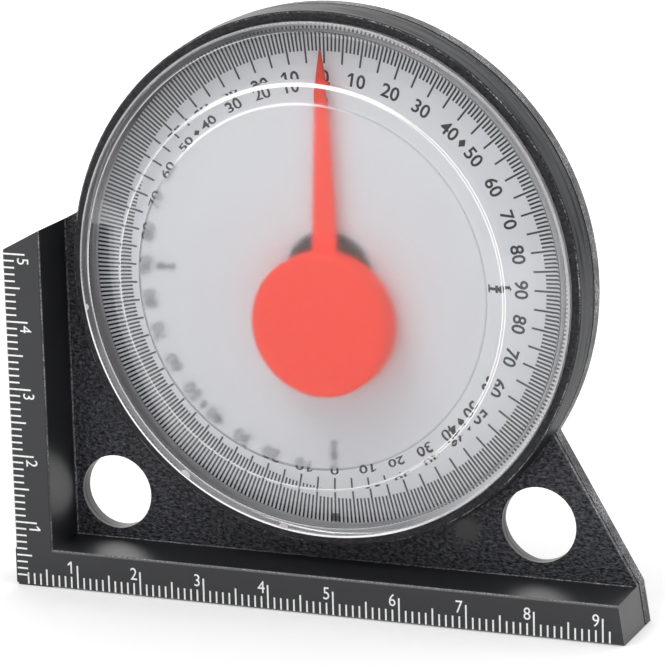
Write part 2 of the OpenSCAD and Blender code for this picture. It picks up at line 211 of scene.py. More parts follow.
class LensLook(bpy.types.PropertyGroup):
    rim_depth: length("Rim depth", 3.9, "Depth of the rim behind the case's front")
    rim_w: length("Rim", 1.45, "Width of the flat rim")
    flank_w: length("Flank", 6.7, "Width of the sloping flank")
    flank_t: length("Flank thickness", 1.2, "Thickness of the flank, along the depth")
    middle_t: length("Middle", 0.9, "Thickness of the raised middle")
    frost_inset: length("Frost inset", 2.0, "Width of the bevel round the frosted middle")
    frost_angle: angle("Frost angle", 12, "Slope of that bevel")
    frost_line: length("Frost line", 0.35, "Width of the line round the frosted middle")
    skirt_t: length("Skirt", 1.45, "Thickness of the skirt")
    seat: length("Seat", 0.04, "Gap between the skirt and the dial")
    crest_round: length("Crest", 1.2, "Radius of the raised middle's edge")
    small_round: length("Small edges", 0.3, "Radius of the other edges")
    frost_round: length("Frost edge", 6.0, "Radius of the soft edge of the frosted middle")
    lead: length("Lead", 0.2, "Strip beside a rounded edge that keeps the flats' shading even")
    gate_t: length("Gate height", 0.04, "Height of the cut gates above the rim")
    gate: colour("Gate tone", "#cdcaca", "Tone of the cut gates")
    frost: colour("Frost", "#f4f6f7", "White that the turned wall scatters")
    # Painted light: the white lines on the lens's edges get this tint and a glow of their own
    glint: colour("Edges", "#fbf6f6", "Tint of the light that leaves the edges")
    blur: amount("Blur", 0.29, "Roughness of the frosted face")
    piping: amount("Edge light", 0.4, "Strength of the light that leaves the edges")


class PointerLook(bpy.types.PropertyGroup):
    plastic: colour("Plastic", "#ff340a", "Orange red of the pointer")
    # Painted glow: the dye's fluorescence, given as light of its own that no lamp drives
    glow: amount("Fluorescence", 0.22, "Light that the dye gives back")
    # Painted shade: from this reach the needle darkens towards its tip
    thick_r: length("Full tone", 22.0, "Reach of the needle's full tone from the axle")
    tip_r: length("Tip", 32.0, "Distance of the thin tip from the axle")
    tip_tone: amount("Tip tone", 0.54, "Share of the tone that is left at the tip")


class StudioLook(bpy.types.PropertyGroup):
    focal: amount("Focal length", 3784.7, "Focal length in pixels of the image")
    centre: FloatVectorProperty(name="Centre", description="Pixel that the camera's axis meets", size=2,
                                default=(328.35, 332.05))
    place: lengths("Place", (199.22, -476.79, 167.17), "Place of the camera")
    azimuth: angle("Azimuth", 22.553, "Turn of the camera to the right of the front")
    elevation: angle("Elevation", 13.863, "Rise of the camera above the horizon")
    roll: angle("Roll", -1.5, "Turn of the camera about its own axis")
    floor: colour("Floor", "#f7f7f7", "White of the floor")
    floor_half: length("Floor size", 2000, "Half the side of the floor")
    floor_gap: length("Floor gap", 0.05, "Gap between the floor and the part's foot")
    glow: amount("Floor glow", 0.52, "Brightness of the back-lit floor, far from the part")
    # Painted shadow: the glow is cut to this share beside the part
    near_glow: amount("Near glow", 0.31, "Share of the glow that is left beside the part")
    glow_reach: lengths("Glow reach", (70, 300), "Distances where the glow starts to grow and is full")
    air: amount("Room light", 0.66, "Brightness of the white room")


LOOKS = {
    "case": CaseLook,
    "rulers": RulerLook,
    "dial": DialLook,
    "lens": LensLook,
    "pointer": PointerLook,
    "studio": StudioLook,
}


def look(name):
    """The scene's property group of one of the looks."""
    return getattr(bpy.context.scene, "angle_finder_" + name)


# Shapes, as arrays of points and faces

# The flag of a 1: corners across and up from the foot of its stem's left side, as shares of its height
FLAG = np.array([(0, 1), (0, 0.78), (-0.24, 0.62), (-0.24, 0.77)])
ARC_STEPS = 10
LENS_SPOKES = 256


def enclosed(mesh, points):
    """Volume inside a closed mesh: a sixth of the sum of each triangle's a . (b x c)."""
    mesh.calc_loop_triangles()
    corners = np.empty(len(mesh.loop_triangles) * 3, dtype=np.int32)
    mesh.loop_triangles.foreach_get("vertices", corners)
    a, b, c = (points[corners.reshape(-1, 3)] - points[0]).transpose(1, 0, 2)
    return np.einsum("ij,ij->", a, np.cross(b, c)) / 6


def make_piece(name, points, faces, materials, body, slot=None, face_material=None, smooth=False):
    """Puts points and faces into a mesh object at the origin that rides on a body."""
    mesh = bpy.data.meshes.new(name)
    mesh.from_pydata(points.tolist(), [], faces)
    for material in materials:
        mesh.materials.append(material)
    if face_material is not None:
        mesh.polygons.foreach_set("material_index", face_material)
    mesh.polygons.foreach_set("use_smooth", np.full(len(mesh.polygons), smooth))
    mesh.update()
    if mesh.validate():
        raise ValueError(name + " has a broken mesh")
    if enclosed(mesh, points) <= 0:
        raise ValueError(name + " is inside out")
    piece = bpy.data.objects.new(name, mesh)
    bpy.context.scene.collection.objects.link(piece)
    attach(piece, body)
    return piece


def gather(parts):
    """Joins several points-and-faces pairs into one."""
    counts = np.cumsum([0] + [len(points) for points, _ in parts])
    points = np.concatenate([points for points, _ in parts])
    faces = [[i + start for i in face] for (_, part), start in zip(parts, counts) for face in part]
    return points, faces


def radial(degrees):
    """Outward directions in the plane of the dial, at angles clockwise from the top."""
    turn = np.radians(np.atleast_1d(degrees))[:, None]
    return np.sin(turn) * RIGHT + np.cos(turn) * UP


def films(low, film):
    """Four-sided films of ink on a plane that faces the viewer: their corners, clockwise to the viewer, and
    the same corners again, raised by the film's thickness."""
    points = np.concatenate([low, low + TO_VIEWER * film], axis=1).reshape(-1, 3)
    box = np.array([(0, 1, 2, 3), (7, 6, 5, 4), (0, 4, 5, 1), (1, 5, 6, 2), (2, 6, 7, 3), (3, 7, 4, 0)])
    faces = (np.arange(len(low))[:, None, None] * 8 + box).reshape(-1, 4)
    return points, faces.tolist()


def bars(starts, ends, width, film):
    """Printed lines: the corners are each start and end, plus or minus half the width across."""
    run = ends - starts
    across = np.cross(TO_VIEWER, run / np.linalg.norm(run, axis=1, keepdims=True)) * width / 2
    return films(np.stack([starts - across, starts + across, ends + across, ends - across], axis=1), film)


def diamonds(middles, reach, across, film):
    """Printed diamonds: the corners are each middle, plus or minus the reach and plus or minus across."""
    corners = [middles + reach, middles + across, middles - reach, middles - across]
    return films(np.stack(corners, axis=1), film)


def glyphs(text, height, narrow, film, bold):
    """Points and faces of a word as a thin solid, centred across and standing on its foot: right, up and
    towards the viewer. The outlines grow by bold, as a share of the font's size."""
    curve = bpy.data.curves.new("glyphs", "FONT")
    curve.body = text
    curve.resolution_u = 6
    curve.offset = bold
    curve.extrude = 0.5
    holder = bpy.data.objects.new("glyphs", curve)
    bpy.context.scene.collection.objects.link(holder)
    solid = holder.evaluated_get(bpy.context.evaluated_depsgraph_get())
    mesh = bpy.data.meshes.new_from_object(solid)
    flat = np.empty(len(mesh.vertices) * 3)
    mesh.vertices.foreach_get("co", flat)
    flat = flat.reshape(-1, 3)
    faces = [list(polygon.vertices) for polygon in mesh.polygons]
    bpy.data.objects.remove(holder)
    bpy.data.curves.remove(curve)
    bpy.data.meshes.remove(mesh)
    low, high = flat.min(axis=0), flat.max(axis=0)
    scale = height / (high[1] - low[1])
    flat -= ((low[0] + high[0]) / 2, low[1], low[2])
    return flat * (scale * narrow, scale, film / (high[2] - low[2])), faces


def carry(flat, origin, right, up):
    """Carries flat points to the origin plus their shares of right, up and towards the viewer."""
    return origin + flat[:, :1] * right + flat[:, 1:2] * up + flat[:, 2:] * TO_VIEWER


def number(text, height, narrow, film, origin, right, up, bold=0.0):
    """A printed number, standing on the origin. The font's 1 is a bare stroke, so a 1 gets a flag: a
    four-sided film that hangs from the left of the stem's head."""
    flat, faces = glyphs(text, height, narrow, film, bold)
    parts = [(carry(flat, origin, right, up), faces)]
    if text.startswith("1"):
        stem = flat[:, 0].min()
        flag = np.column_stack([FLAG * height + (stem, 0), np.zeros(len(FLAG))])
        parts.append(films(carry(flag, origin, right, up)[None], film))
    return parts


def round_corners(corners, radii, leads):
    """An open profile whose inner corners are arcs. An arc of radius r starts r tan(turn / 2) before its
    corner, and its points are the arc's middle plus r times the turned normal. A short lead before and after
    each arc keeps the shading of the flats even. Gives the points, and the corner whose arc each stretch
    between two points belongs to, or -1."""
    corners = np.asarray(corners, float)
    points, arcs = [corners[:1]], []
    for i in range(1, len(corners) - 1):
        before, after = corners[i] - corners[i - 1], corners[i + 1] - corners[i]
        before, after = before / np.linalg.norm(before), after / np.linalg.norm(after)
        turn = math.atan2(before[0] * after[1] - before[1] * after[0], before @ after)
        reach = radii[i] * math.tan(abs(turn) / 2)
        side = math.copysign(1, turn) * np.array((-before[1], before[0]))
        middle = corners[i] - before * reach + side * radii[i]
        turned = np.linspace(0, turn, ARC_STEPS + 1)[:, None]
        arc = middle + radii[i] * (before * np.sin(np.abs(turned)) - side * np.cos(turned))
        points += [arc[:1] - before * leads[i], arc, arc[-1:] + after * leads[i]]
        arcs += [-1, -1] + [i] * ARC_STEPS + [-1]
    points.append(corners[-1:])
    arcs.append(-1)
    return np.concatenate(points), np.array(arcs)


def lathe(profile):
    """A closed surface of revolution round the dial axis. The profile runs from axis to axis in radius and
    depth: a point is axis + radius (cos t, sin t) in x and z, at its own depth. The ends on the axis are one
    point each, after the rings. The faces follow the profile, stretch by stretch."""
    turn = np.linspace(0, 2 * math.pi, LENS_SPOKES, endpoint=False)
    radius, depth = profile[1:-1].T
    rings = np.stack([AXIS[0] + np.outer(radius, np.cos(turn)), np.outer(depth, np.ones(LENS_SPOKES)),
                      AXIS[2] + np.outer(radius, np.sin(turn))], axis=2).reshape(-1, 3)
    poles = np.array([(AXIS[0], profile[0, 1], AXIS[2]), (AXIS[0], profile[-1, 1], AXIS[2])])
    here = np.arange(LENS_SPOKES)
    ahead = np.roll(here, -1)
    row = np.arange(len(radius) - 1)[:, None] * LENS_SPOKES
    below = row + LENS_SPOKES
    walls = np.stack([row + here, below + here, below + ahead, row + ahead], axis=2).reshape(-1, 4)
    last = len(rings) - LENS_SPOKES
    first_cap = np.stack([np.full(LENS_SPOKES, len(rings)), here, ahead], axis=1)
    last_cap = np.stack([np.full(LENS_SPOKES, len(rings) + 1), last + ahead, last + here], axis=1)
    return np.concatenate([rings, poles]), first_cap.tolist() + walls.tolist() + last_cap.tolist()


# Materials

# Settings that combine masks, which are 1 where something lies and 0 elsewhere
NEAR = {"operation": "COMPARE"}
ABOVE = {"operation": "GREATER_THAN"}
BELOW = {"operation": "LESS_THAN"}
BOTH = {"operation": "MULTIPLY"}
EITHER = {"operation": "MAXIMUM"}
WITHOUT = {"operation": "SUBTRACT", "use_clamp": True}
# Settings that mix colours; the mixed colour is the node's third output
BLEND = {"data_type": "RGBA", "out": 2}
TINT = {"data_type": "RGBA", "out": 2, "blend_type": "MULTIPLY"}
WHITE = linear("#ffffff")
ACRYLIC = {"IOR": 1.49, "Transmission Weight": 1.0}


def add_node(tree, kind, sockets=(), out=0, **settings):
    """Adds a node with its settings and gives one of its outputs. The sockets come in their own order or by
    name, and each gets a value, or an output that is linked to it."""
    made = tree.nodes.new("ShaderNode" + kind)
    for key, value in settings.items():
        setattr(made, key, value)
    for key, value in sockets.items() if isinstance(sockets, dict) else enumerate(sockets):
        if isinstance(value, bpy.types.NodeSocket):
            tree.links.new(value, made.inputs[key])
        else:
            made.inputs[key].default_value = value
    return made.outputs[out] if made.outputs else None


def blank(holder):
    """Empties the node tree of a material or world and gives the function that adds nodes to it."""
    holder.use_nodes = True
    holder.node_tree.nodes.clear()
    return functools.partial(add_node, holder.node_tree)


def new_material(name, shader, *values):
    """A new material, whose surface is what the shader's function builds."""
    material = bpy.data.materials.new(name)
    add = blank(material)
    add("OutputMaterial", (shader(add, *values),))
    return material


def uneven(add, size, detail, low=0.0, high=1.0, spread=(0.0, 1.0), vector=None):
    """A value that wanders from low to high in blotches of this size. The spread is the part of the pattern's
    range that is used. The vector is where the pattern is read, if that isn't the point itself."""
    point = vector or add("TexCoord", out="Object")
    pattern = add("TexNoise", {"Vector": point, "Scale": 1 / size, "Detail": detail})
    return add("MapRange", {
        "Value": pattern, "From Min": spread[0], "From Max": spread[1], "To Min": low, "To Max": high})


def case_masks(add, point):
    """Where each finish of the case lies, as named masks worked out from a point's place."""
    case = look("case")
    x, y, z = add("SeparateXYZ", (point,)).node.outputs
    web_y, lip_y = FRONT_Y + case.web_depth, FRONT_Y + case.lip_depth
    flat = add("VectorMath", (point, (1, 0, 1)), operation="MULTIPLY")
    reach = add("VectorMath", (flat, AXIS * (1, 0, 1)), out="Value", operation="DISTANCE")

    # The drum's side wall and lip, the back cover, the groove before it and the bearing's boss
    not_back = add("Math", (y, BACK_Y - case.back_t), **BELOW)
    round_wall = add("Math", (reach, case.drum_r, case.wall_t), **NEAR)
    wall = add("Math", (round_wall, not_back), **BOTH)
    brim = add("Math", (reach, case.drum_r, case.lip_w), **NEAR)
    lip_face = add("Math", (y, lip_y, case.skin), **NEAR)
    lip = add("Math", (lip_face, brim), **BOTH)
    cover = add("Math", (y, JOINT_Y + case.groove), **ABOVE)
    groove = add("Math", (y, JOINT_Y + case.groove / 2, case.groove / 2), **NEAR)
    hub = add("Math", (reach, case.boss_r), **BELOW)
    boss = add("Math", (hub, cover), **WITHOUT)

    # The outside of the cover and the web's thin sides, but not the walls of the hanging holes
    behind = add("Math", (y, web_y + case.skin), **ABOVE)
    above = add("Math", (z, FOOT_Z + case.ledge_w), **ABOVE)
    web_side = add("Math", (behind, above), **BOTH)
    bare_side = add("Math", (web_side, wall), **WITHOUT)
    outside = add("Math", (cover, bare_side), **EITHER)
    for bore_x, bore_z in (case.bores[:2], case.bores[2:]):
        bore = (LEFT_X + bore_x, 0, FOOT_Z + bore_z)
        away = add("VectorMath", (flat, bore), out="Value", operation="DISTANCE")
        clear = add("Math", (away, case.bore_r), **ABOVE)
        outside = add("Math", (outside, clear), **BOTH)
    cover_side = add("Math", (outside, not_back), **BOTH)

    # The etched grain, with a smooth spot at the gate mark
    web = add("Math", (y, web_y, case.skin), **NEAR)
    lip_grain = add("Math", (lip, case.lip_grain), **BOTH)
    front_grain = add("Math", (web, lip_grain), **EITHER)
    cover_grain = add("Math", (outside, case.cover_grain), **BOTH)
    grain = add("Math", (front_grain, cover_grain), **EITHER)
    gate = (LEFT_X + case.gate_x, web_y, FOOT_Z + case.gate_z)
    away = add("VectorMath", (point, gate), out="Value", operation="DISTANCE")
    clear = add("MapRange", {"Value": away, "From Min": case.gate_r * 0.5, "From Max": case.gate_r * 1.2})
    etched = add("Math", (grain, clear), **BOTH)

    # Painted shade: the boss, the groove, the cover's sides and, partly, the lip turn matt black
    lip_shade = add("Math", (lip, case.lip_shade), **BOTH)
    turned = add("Math", (lip_shade, boss), **EITHER)
    sunk = add("Math", (groove, turned), **EITHER)
    shaded = add("Math", (sunk, cover_side), **EITHER)

    # Painted highlights: pale lines on the front edges and the drum's lip, specks on the cover's sides,
    # and a line along the foot of the ledges, inside the L
    front_edge = add("Math", (y, FRONT_Y + case.front_line[0], case.front_line[1]), **NEAR)
    lip_edge = add("Math", (y, lip_y + case.lip_line[0], case.lip_line[1]), **NEAR)
    drum_edge = add("Math", (lip_edge, wall), **BOTH)
    thin_edges = add("Math", (front_edge, drum_edge), **EITHER)
    handled = add("Math", (thin_edges, cover_side), **EITHER)
    ledge_foot = add("Math", (y, web_y + case.ledge_line[0], case.ledge_line[1]), **NEAR)
    inner = add("Math", (x, 0.0, RIGHT_X - case.line_ends[0]), **NEAR)
    raised = add("Math", (z, FOOT_Z + case.line_ends[1]), **ABOVE)
    within = add("Math", (inner, raised), **BOTH)
    foot_line = add("Math", (ledge_foot, within), **BOTH)
    ledge = add("Math", (foot_line, wall), **WITHOUT)
    return types.SimpleNamespace(wall=wall, etched=etched, shaded=shaded, handled=handled, ledge=ledge)


def moulded_abs(add):
    """Black ABS from a steel mould: satin where the mould was polished, wrinkled where it was etched. The
    grain is on the web, the drum's lip and the outside of the back cover. Its bumps scatter the studio
    into small lights and darks, and the grain also has painted shade in its creases and painted
    highlights on its crowns. Painted shade darkens the boss, the groove, the lip and the cover's sides,
    and painted highlights make pale lines along edges and specks on the cover's sides. The polished faces
    show soft, stretched reflections."""
    case = look("case")
    point = add("TexCoord", out="Object")
    where = case_masks(add, point)

    # Wrinkles, longer than they are high, with painted shade in the creases and painted highlights on the
    # crowns
    stretched = add("Mapping", {"Vector": point, "Scale": (0.62, 1.0, 1.0)})
    relief = add("TexNoise", {
        "Vector": stretched, "Scale": 1 / case.grain, "Detail": 2.0, "Distortion": 0.6})
    pebble = add("MapRange", {"Value": relief, "From Min": 0.25, "From Max": 0.75},
                 interpolation_type="SMOOTHSTEP")
    height = add("Math", (pebble, where.etched), **BOTH)
    grained = add("Bump", {"Height": height, "Distance": case.grain_depth, "Strength": 1.0})
    painted_relief = add("Mix", {"Factor": pebble, "A": case.crease, "B": case.crown}, **BLEND)
    face = add("Mix", {"Factor": where.etched, "A": case.plastic, "B": painted_relief}, **BLEND)
    # Painted shade on the boss, the groove, the lip and the cover's sides
    dark = add("Mix", {"Factor": where.shaded, "A": face, "B": case.matt}, **BLEND)

    # Painted highlights: pale dots along those lines and specks, in patches
    flow = uneven(add, 6 * MM, 4.0)
    patches = add("MapRange", {
        "Value": flow, "From Min": 0.42, "From Max": 0.6, "To Min": 0.12, "To Max": 0.6})
    glinting = add("Math", (where.handled, patches), **BOTH)
    edges = add("Math", (where.ledge, glinting), **EITHER)
    dots = uneven(add, 0.25 * MM, 2.0, spread=(0.4, 0.7))
    painted_glint = add("Math", (edges, dots), **BOTH)
    shade = add("Mix", {"Factor": painted_glint, "A": dark, "B": case.wear}, **BLEND)

    # Gloss: streaks along the drum's wall, glints on the crowns of the grain
    drawn = add("Mapping", {"Vector": point, "Scale": (0.05, 1.0, 0.05)})
    streaks = uneven(add, 0.6 * MM, 3.0, 0.02, 0.18, (0.3, 0.7), drawn)
    smooth_gloss = add("Mix", {"Factor": where.wall, "A": 0.5, "B": streaks})
    crowns = add("MapRange", {"Value": pebble, "To Min": 0.08, "To Max": 0.8})
    face_gloss = add("Mix", {"Factor": where.etched, "A": smooth_gloss, "B": crowns})
    gloss = add("Mix", {"Factor": where.shaded, "A": face_gloss, "B": 0.2})
    satin = add("MapRange", {"Value": flow, "To Min": 0.30, "To Max": 0.40})
    rough = add("Mix", {"Factor": where.etched, "A": satin, "B": 0.42})
    return add("BsdfPrincipled", {
        "Base Color": shade, "Roughness": rough, "Specular IOR Level": gloss, "IOR": 1.53,
        "Normal": grained})


def printed_ink(add, ink):
    """Pad-printed ink: a thin matt film, slightly uneven where the pad let go."""
    tone = uneven(add, 0.5 * MM, 3.0, 0.86, 1.0, spread=(0.3, 0.7))
    shade = add("Mix", {"Factor": 1.0, "A": ink, "B": tone}, **TINT)
    return add("BsdfPrincipled", {"Base Color": shade, "Roughness": 0.6, "IOR": 1.5})


def dial_card(add):
    """White polystyrene sheet with a satin, barely mottled face."""
    tone = uneven(add, 3 * MM, 4.0, 0.96, 1.0)
    shade = add("Mix", {"Factor": 1.0, "A": look("dial").card, "B": tone}, **TINT)
    return add("BsdfPrincipled", {"Base Color": shade, "Roughness": 0.45, "IOR": 1.55})


def clear_acrylic(add):
    """Polished injection-moulded acrylic, with faint flow waviness."""
    flow = uneven(add, 8 * MM, 1.0)
    wavy = add("Bump", {"Height": flow, "Distance": 0.02 * MM, "Strength": 1.0})
    return add("BsdfPrincipled", {
        **ACRYLIC, "Base Color": linear("#fbfcfd"), "Roughness": 0.0, "Normal": wavy})


def frosted_acrylic(add):
    """Acrylic moulded against a blasted tool face. It spreads the light that passes, so near things stay
    clear and far ones blur."""
    blur = look("lens").blur
    rough = uneven(add, 0.4 * MM, 3.0, blur * 0.96, blur * 1.08)
    return add("BsdfPrincipled", {**ACRYLIC, "Base Color": WHITE, "Roughness": rough})


def darkened(add, shade):
    """White where the edge attribute is 0 or more, turning to a shade as it falls to -1: painted shade on the
    lens.
    """
    edge = add("Attribute", out="Fac", attribute_name="edge")
    dark = add("MapRange", {"Value": edge, "From Min": 0.0, "From Max": -1.0})
    return add("Mix", {"Factor": dark, "A": WHITE, "B": shade}, **BLEND)


def matt_acrylic(add):
    """The lens's upright inner wall, left as the tool was turned: it dims what lies behind it to an even
    grey. Where the edge attribute is below 0 it takes painted shade and shows dark."""
    haze = uneven(add, 2 * MM, 2.0, 0.01, 0.05)
    blur = add("BsdfPrincipled", {
        **ACRYLIC, "Base Color": darkened(add, linear("#101114")), "Roughness": 0.35})
    milk = add("BsdfDiffuse", {"Color": look("lens").frost})
    return add("MixShader", (haze, blur, milk))


def edge_acrylic(add):
    """Edges of a clear moulding, with painted light and shade. The edge attribute says how much: 1 is a
    white line that glows, 0 is clear, and below 0 painted shade turns the edge grey."""
    lens = look("lens")
    clear = add("BsdfPrincipled", {
        **ACRYLIC, "Base Color": darkened(add, linear("#4a4c50")), "Roughness": 0.05})
    edge = add("Attribute", out="Fac", attribute_name="edge")
    bright = add("MapRange", {"Value": edge})
    lit = add("BsdfPrincipled", {
        "Base Color": lens.glint, "Roughness": 0.3, "Emission Color": lens.glint,
        "Emission Strength": lens.piping})
    return add("MixShader", (bright, clear, lit))


def pointer_plastic(add):
    """Fluorescent orange polystyrene, moulded with a soft satin face, with a painted glow for its
    fluorescence. Painted shade darkens the needle and dims its glow towards the tip."""
    pointer = look("pointer")
    point = add("TexCoord", out="Object")
    reach = add("VectorMath", (point, AXIS), out="Value", operation="DISTANCE")
    # Painted shade along the needle, darkest at its tip; it also dims the painted glow
    thin = add("MapRange", {
        "Value": reach, "From Min": pointer.thick_r, "From Max": pointer.tip_r,
        "To Min": 1.0, "To Max": pointer.tip_tone})
    tone = uneven(add, 4 * MM, 3.0, 0.94, 1.0)
    depth = add("Math", (tone, thin), **BOTH)
    shade = add("Mix", {"Factor": 1.0, "A": pointer.plastic, "B": depth}, **TINT)
    glow = add("Math", (thin, pointer.glow), **BOTH)
    return add("BsdfPrincipled", {
        "Base Color": shade, "Roughness": 0.5, "IOR": 1.57, "Specular IOR Level": 0.15,
        "Emission Color": pointer.plastic, "Emission Strength": glow})


def turned_metal(add, shade, roughness, groove):
    """Turned metal: fine rings left by the tool spread the reflections."""
    rings = uneven(add, groove, 4.0)
    spread = add("MapRange", {"Value": rings, "To Min": roughness * 0.8, "To Max": roughness * 1.3})
    marks = add("Bump", {"Height": rings, "Distance": 0.005 * MM, "Strength": 0.6})
    return add("BsdfPrincipled", {
        "Base Color": shade, "Metallic": 1.0, "Roughness": spread, "Normal": marks})


def sintered_ferrite(add):
    """Ground ferrite magnet: dark grey, dull, with fine pits."""
    pits = uneven(add, 0.3 * MM, 5.0)
    tone = add("Mix", {"Factor": pits, "A": linear("#2b2b2d"), "B": linear("#4c4c4f")}, **BLEND)
    relief = add("Bump", {"Height": pits, "Distance": 0.02 * MM, "Strength": 0.8})
    return add("BsdfPrincipled", {"Base Color": tone, "Roughness": 0.55, "Normal": relief})


def studio_paper(add):
    """Matt white paper, lit from behind: its glow is cut beside the part, as a painted shadow."""
    studio = look("studio")
    tone = uneven(add, 1 * MM, 2.0, 0.98, 1.0)
    shade = add("Mix", {"Factor": 1.0, "A": studio.floor, "B": tone}, **TINT)
    point = add("TexCoord", out="Object")
    far = add("VectorMath", (point,), out="Value", operation="LENGTH")
    # Painted shadow: less glow near the part
    near, full = studio.glow_reach
    glow = add("MapRange", {
        "Value": far, "From Min": near, "From Max": full, "To Min": studio.glow * studio.near_glow,
        "To Max": studio.glow})
    return add("BsdfPrincipled", {
        "Base Color": shade, "Roughness": 1.0, "Specular IOR Level": 0.0, "Emission Color": studio.floor,
        "Emission Strength": glow})


def finish_nodes(names, material):
    """Gives carried-over solids their material."""
    for name in names:
        for slot in frame["nodes"][name].material_slots:
            slot.material = material


# Operators


class ANGLEFINDER_OT_case(bpy.types.Operator):
    """Finish the front shell and the back cover in moulded black ABS"""

    bl_idname = "angle_finder.case"
    bl_label = "Case"

    def execute(self, context):
        finish_nodes(("front_case", "back_cover"), new_material("black_abs_moulded", moulded_abs))
        return {"FINISHED"}


class ANGLEFINDER_OT_rulers(bpy.types.Operator):
    """Print the millimetre lines and centimetre numbers on the base and the left side"""

    bl_idname = "angle_finder.rulers"
    bl_label = "Rulers"

    def execute(self, context):
        ruler = look("rulers")
        ink = new_material("white_pad_print", printed_ink, ruler.ink)
        origin = np.array((LEFT_X, FRONT_Y, FOOT_Z))
        rulers = {
            "base": (ruler.base_zero, ruler.base_last, RIGHT, UP, RIGHT, UP),
            "side": (ruler.side_zero, ruler.side_last, UP, RIGHT, -UP, RIGHT),
        }
        for name, (zero, last, along, inward, right, up) in rulers.items():
            mark = np.arange(ruler.first, last + 1)
            short = np.where(mark % 5 == 0, ruler.half_len, ruler.mm_len)
            reach = np.where(mark % 10 == 0, ruler.cm_len, short)[:, None]
            foot = origin + (zero + mark * MM)[:, None] * along
            lines = bars(foot + ruler.margin * inward, foot + reach * inward, ruler.line, ruler.film)
            make_piece(name + "_ruler_lines", *lines, [ink], "case")
            digits = []
            for cm in range(1, last // 10 + 1):
                at = zero + 10 * cm * MM - (ruler.line / 2 + ruler.digit_gap + ruler.digit_w / 2)
                stand = origin + at * along + ruler.digit_foot * inward
                digits += number(str(cm), ruler.digit_h, ruler.narrow, ruler.film, stand, right, up)
            make_piece(name + "_ruler_numbers", *gather(digits), [ink], "case")
        return {"FINISHED"}


class ANGLEFINDER_OT_dial(bpy.types.Operator):
    """Finish the dial, plug its notch and print its degree lines, numbers, diamonds and index marks"""

    bl_idname = "angle_finder.dial"
    bl_label = "Dial"

    def execute(self, context):
        dial = look("dial")
        card = new_material("white_polystyrene_sheet", dial_card)
        finish_nodes(("dial",), card)
        ink = new_material("black_screen_print", printed_ink, dial.ink)
        middle = np.array((AXIS[0], DIAL_Y, AXIS[2]))

        degree = np.arange(360)
        inner = np.where(degree % 5 == 0, dial.five_r, dial.degree_r)[:, None]
        out = radial(degree)
        lines = bars(middle + out * dial.line_r, middle + out * inner, dial.line, dial.film)
        make_piece("dial_lines", *lines, [ink], "case")

        digits = []
        for turn in range(0, 360, 10):
            value = min(turn % 180, 180 - turn % 180)
            up = radial(turn)[0]
            foot = middle + up * (dial.digit_r - dial.digit_h / 2)
            right = np.cross(up, TO_VIEWER)
            digits += number(str(value), dial.digit_h, 1.0, dial.film, foot, right, up, dial.bold)
        make_piece("dial_numbers", *gather(digits), [ink], "case")

        out = radial(np.arange(45, 360, 90))
        across = np.cross(out, TO_VIEWER) * dial.diamond_w / 2
        eighths = diamonds(middle + out * dial.digit_r, out * dial.diamond_h / 2, across, dial.film)
        make_piece("dial_diamonds", *eighths, [ink], "case")

        down = radial(180)
        floor = middle - TO_VIEWER * dial.notch_t
        pin = new_material("grey_polystyrene", printed_ink, dial.pin)
        plugs = {
            "dial_tongue": (dial.notch_out, dial.notch_skirt, card),
            "locating_pin": (dial.notch_skirt, dial.notch_in, pin),
        }
        for name, (start, end, material) in plugs.items():
            plug = bars(floor + down * start, floor + down * end, dial.notch_w, dial.notch_t - dial.film)
            make_piece(name, *plug, [material], "case")

        out = radial(np.arange(0, 360, 90))
        across = np.cross(out, TO_VIEWER) * dial.serif_w / 2
        start, end = middle + out * dial.serif_r, middle + out * dial.index_in
        shafts = bars(start, end, dial.index_w, dial.film)
        feet = [bars(at - across, at + across, dial.index_w, dial.film) for at in (start, end)]
        waist = middle + out * (dial.index_out + dial.serif_r) / 2
        heads = diamonds(waist, out * (dial.index_out - dial.serif_r) / 2, across, dial.film)
        make_piece("dial_index_marks", *gather([shafts, *feet, heads]), [ink], "case")
        return {"FINISHED"}


# The lens's rounded corners, counted along its section from the axis
CREST, RIM_INNER, RIM_OUTER = 1, 2, 3
# Places of the materials in the lens's list
FROST, EDGE, MATT = 1, 2, 3
# The cut gates on the rim: degrees clockwise from the top, and radius in millimetres
GATES = ((261, 0.5), (216, 0.85), (190, 0.75))
# Degrees over which a lit or dark stretch of an edge fades
FADE = 20


def lens_section(lens):
    """The lens's section, from the axis along its face to the rim, down the skirt and back underneath."""
    top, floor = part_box("lens")[0].y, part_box("lens")[1].y - lens.seat
    rim_y = FRONT_Y + lens.rim_depth
    rim_in = LENS_R - lens.rim_w
    crest = rim_in - lens.flank_w
    frost_r = crest - lens.frost_inset
    slope = (rim_y - top) / lens.flank_w
    skirt = LENS_R - lens.skirt_t
    under = top + lens.middle_t
    bevel = math.tan(lens.frost_angle)
    bevel_end = crest + (lens.middle_t - lens.flank_t + bevel * lens.frost_inset) / (slope - bevel)
    corners = [(0, top), (crest, top), (rim_in, rim_y), (LENS_R, rim_y), (LENS_R, floor), (skirt, floor),
               (skirt, top + lens.flank_t + slope * (skirt - crest)),
               (bevel_end, under + bevel * (bevel_end - frost_r)), (frost_r, under), (0, under)]
    radii = [0, lens.crest_round] + [lens.small_round] * 6 + [lens.frost_round, 0]
    leads = [lens.lead] * 8 + [lens.frost_line, 0]
    return round_corners(corners, radii, leads)


def facing(degrees, spread):
    """How far each spoke of the lens faces one way, anticlockwise from the right: 1 within the spread,
    fading to 0 past it."""
    spokes = np.linspace(0, 360, LENS_SPOKES, endpoint=False)
    away = np.abs((spokes - degrees + 180) % 360 - 180)
    return np.clip((spread + FADE - away) / FADE, 0, 1)


def stripes(width, *middles):
    """Lines across an arc, which runs from -1 to 1: each fades from 1 at its middle to 0 at its width."""
    across = np.linspace(-1, 1, ARC_STEPS + 1)
    return np.max([1 - np.abs(across - middle) / width for middle in middles], axis=0)[:, None]


